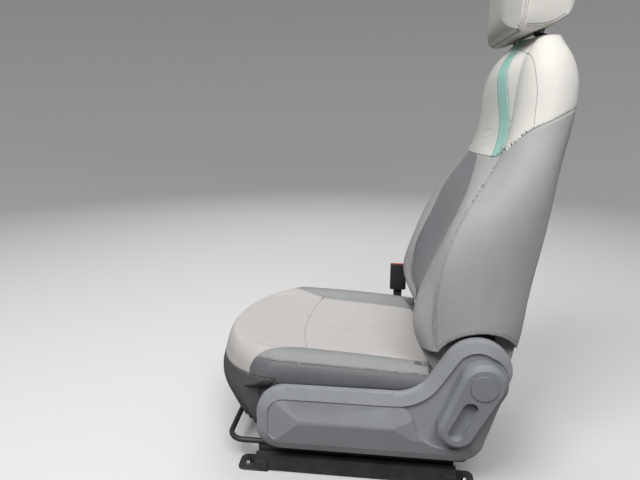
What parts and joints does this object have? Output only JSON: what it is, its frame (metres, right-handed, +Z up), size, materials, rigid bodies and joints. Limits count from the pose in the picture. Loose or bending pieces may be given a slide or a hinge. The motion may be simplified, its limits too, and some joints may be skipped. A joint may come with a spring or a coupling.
{
  "type": "car front seat",
  "caption": "Front seat of a small car: padded cushion and reclining backrest with side bolsters, headrest on posts, side shields with recliner lever, on sliding floor rails.",
  "frame": {"origin": "on the floor plane, midway between the four floor bolts of the rails", "axes": "+X outboard, the side of the recliner lever; +Y to the rear; +Z up"},
  "size_m": [0.5645, 0.7421, 1.0726],
  "materials": {
    "rail_steel": "dark coated steel",
    "frame_steel": "black painted pressed steel",
    "bright_steel": "plated round bar",
    "moulded_trim": "mid-grey moulding with a fine grain",
    "black_plastic": "satin black moulding",
    "red_plastic": "red push button",
    "woven_seat": "light warm-grey woven cloth",
    "grey_hide": "neutral grey leathercloth, double-stitched",
    "dark_hide": "dark grey leathercloth",
    "slate_cloth": "slate grey knitted cloth",
    "cream_hide": "cream leathercloth with a fine grain",
    "mint_stripe": "mint green inlaid stripe"
  },
  "bodies": {
    "floor_rails": {"lower_rail_outboard": "rail_steel", "lower_rail_inboard": "rail_steel", "rail_foot_front_outboard": "rail_steel", "rail_foot_front_inboard": "rail_steel", "rail_foot_rear_outboard": "rail_steel", "rail_foot_rear_inboard": "rail_steel"},
    "seat_base": {"upper_rail_outboard": "rail_steel", "upper_rail_inboard": "rail_steel", "side_member_outboard": "frame_steel", "side_member_inboard": "frame_steel", "recliner_outboard": "frame_steel", "recliner_inboard": "frame_steel", "cushion_bolster_outboard": "grey_hide", "cushion_bolster_inboard": "grey_hide", "cushion_side_outboard": "grey_hide", "cushion_side_inboard": "grey_hide", "side_shield_outboard": "moulded_trim", "side_shield_inboard": "moulded_trim", "seat_pan": "frame_steel", "front_cross_tube": "frame_steel", "rear_cross_tube": "frame_steel", "slide_bar": "frame_steel", "cushion_front_insert": "woven_seat", "cushion_rear_insert": "woven_seat", "cushion_front_facing": "dark_hide", "recliner_lever": "moulded_trim", "lever_cap": "moulded_trim", "buckle_stalk": "rail_steel", "buckle_body": "black_plastic", "buckle_button": "red_plastic"},
    "backrest": {"recliner_plate_outboard": "frame_steel", "recliner_plate_inboard": "frame_steel", "back_bolster_outboard": "grey_hide", "back_bolster_inboard": "grey_hide", "back_side_outboard": "grey_hide", "back_side_inboard": "grey_hide", "back_stripe_outboard": "mint_stripe", "back_stripe_inboard": "mint_stripe", "headrest_guide_outboard": "black_plastic", "headrest_guide_inboard": "black_plastic", "back_centre_panel": "slate_cloth", "back_shoulders": "cream_hide", "back_rear_panel": "dark_hide"},
    "headrest": {"headrest_posts": "bright_steel", "headrest_front": "cream_hide", "headrest_rear": "cream_hide"}
  },
  "joints": [
    {"name": "seat_slide", "type": "slide", "parent": "floor_rails", "child": "seat_base", "axis": [0, 1, 0], "range_m": [-0.12, 0.08]},
    {"name": "recline", "type": "hinge", "parent": "seat_base", "child": "backrest", "pos_m": [0, 0.24, 0.266], "axis": [-1, 0, 0], "range_deg": [-18, 45]},
    {"name": "headrest_height", "type": "slide", "parent": "backrest", "child": "headrest", "axis": [0, 0.2079, 0.9781], "range_m": [0, 0.06]}
  ]
}
